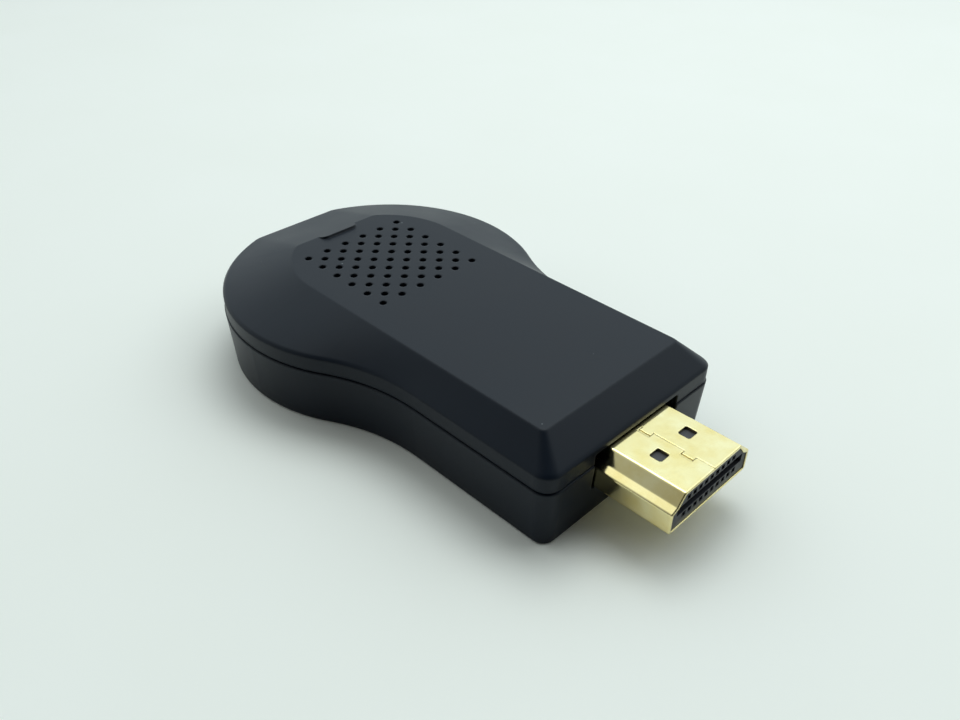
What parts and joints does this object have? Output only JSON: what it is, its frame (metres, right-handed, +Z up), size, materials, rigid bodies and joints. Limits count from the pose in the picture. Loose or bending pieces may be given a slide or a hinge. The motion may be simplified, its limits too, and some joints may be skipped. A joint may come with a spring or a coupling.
{
  "type": "wireless display dongle",
  "caption": "Keyhole-shaped wireless display dongle in matt black plastic, with a gold-plated display plug, a chequered vent grid, a rear power socket and a side button.",
  "frame": {"origin": "middle of the overall length and width, at the height of the flat underside", "axes": "+X along the dongle towards the display plug, +Z up out of the vented top, +Y to the side with the button"},
  "size_m": [0.0706, 0.0408, 0.0125],
  "materials": {
    "case_plastic": "satin moulded black ABS",
    "gold_plate": "gold-plated sheet, bright",
    "connector_plastic": "moulded, dark grey",
    "contact_gold": "gold-flashed contacts",
    "socket_steel": "bright nickel-plated steel",
    "board_laminate": "green solder mask on glass laminate",
    "chip_plastic": "moulded epoxy",
    "heatsink_aluminium": "extruded, black anodised",
    "pad_silicone": "soft silicone",
    "shield_steel": "tin-plated steel",
    "component_ceramic": "fired ceramic with tinned ends",
    "antenna_ceramic": "pale fired ceramic",
    "ferrite": "sintered ferrite",
    "light_resin": "clear epoxy over the light chip",
    "screw_steel": "zinc-plated steel"
  },
  "bodies": {
    "housing": {"upper_case": "case_plastic", "lower_case": "case_plastic", "main_board": "board_laminate", "board_screws": "screw_steel", "plug_shell": "gold_plate", "plug_insulator": "connector_plastic", "plug_contacts_upper": "contact_gold", "plug_contacts_lower": "contact_gold", "power_socket_shell": "socket_steel", "power_socket_insulator": "connector_plastic", "power_socket_contacts": "contact_gold", "switch_body": "connector_plastic", "switch_cover": "socket_steel", "processor": "chip_plastic", "thermal_pad": "pad_silicone", "heatsink": "heatsink_aluminium", "memory_chips": "chip_plastic", "flash_chip": "chip_plastic", "radio_board": "board_laminate", "radio_chip": "chip_plastic", "radio_shield": "shield_steel", "antenna": "antenna_ceramic", "processor_crystal": "shield_steel", "power_inductors": "ferrite", "bulk_capacitors": "component_ceramic", "voltage_regulators": "chip_plastic", "chip_capacitors": "component_ceramic", "resistors": "component_ceramic", "signal_chokes": "ferrite", "status_light": "light_resin"},
    "button": {"button_cap": "case_plastic", "switch_plunger": "connector_plastic"}
  },
  "joints": [
    {"name": "button_press", "type": "slide", "parent": "housing", "child": "button", "axis": [0, -1, 0], "range_m": [0, 0.00025], "stiffness_N_per_m": 2500}
  ]
}
